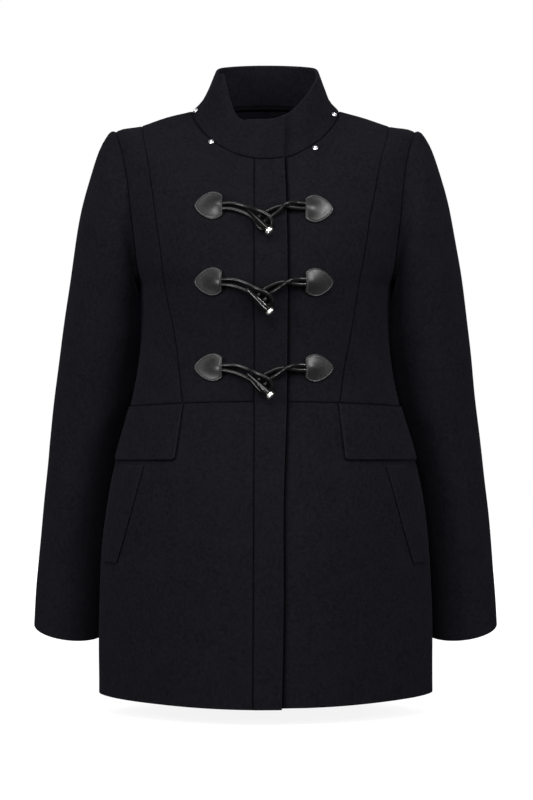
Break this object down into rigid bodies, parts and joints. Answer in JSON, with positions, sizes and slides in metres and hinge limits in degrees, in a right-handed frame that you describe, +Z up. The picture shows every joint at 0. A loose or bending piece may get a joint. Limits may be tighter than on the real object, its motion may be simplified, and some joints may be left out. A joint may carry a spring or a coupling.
{
  "type": "duffle coat",
  "caption": "short fitted woollen duffle coat with a stand-up funnel collar, toggle and cord fastenings with leather patches, pocket flaps at the waist seam and slanted pockets",
  "frame": {"origin": "midway between the two points where the neck seam meets the shoulder line, where the wearer's shoulders hold the coat", "axes": "+Z up, the front faces -Y, the wearer's left is +X"},
  "size_m": [0.611, 0.2948, 0.8266],
  "materials": {
    "wool": "matt brushed melton cloth, very dark navy",
    "patch_leather": "smooth leather, soft sheen, charcoal grey",
    "cord_leather": "smooth round leather cord, near black",
    "horn": "polished imitation horn, black",
    "cap_metal": "polished pale metal",
    "stud_metal": "polished silver-coloured metal"
  },
  "bodies": {
    "root": {"collar": "wool", "cord_left_over_bottom": "cord_leather", "cord_left_over_middle": "cord_leather", "cord_left_over_top": "cord_leather", "cord_left_under_bottom": "cord_leather", "cord_left_under_middle": "cord_leather", "cord_left_under_top": "cord_leather", "front_band": "wool", "hood_button_left_front": "stud_metal", "hood_button_left_shoulder": "stud_metal", "hood_button_right_front": "stud_metal", "hood_button_right_shoulder": "stud_metal", "left_back": "wool", "left_back_skirt": "wool", "left_front": "wool", "left_front_skirt": "wool", "left_pocket_flap": "wool", "left_pocket_welt": "wool", "left_side_front": "wool", "left_sleeve": "wool", "loop_right_bottom": "cord_leather", "loop_right_middle": "cord_leather", "loop_right_top": "cord_leather", "patch_left_bottom": "patch_leather", "patch_left_middle": "patch_leather", "patch_left_top": "patch_leather", "patch_right_bottom": "patch_leather", "patch_right_middle": "patch_leather", "patch_right_top": "patch_leather", "right_back": "wool", "right_back_skirt": "wool", "right_front": "wool", "right_front_skirt": "wool", "right_pocket_flap": "wool", "right_pocket_welt": "wool", "right_side_front": "wool", "right_sleeve": "wool", "toggle_cap_bottom": "cap_metal", "toggle_cap_middle": "cap_metal", "toggle_cap_top": "cap_metal", "toggle_horn_bottom": "horn", "toggle_horn_middle": "horn", "toggle_horn_top": "horn"}
  },
  "joints": []
}
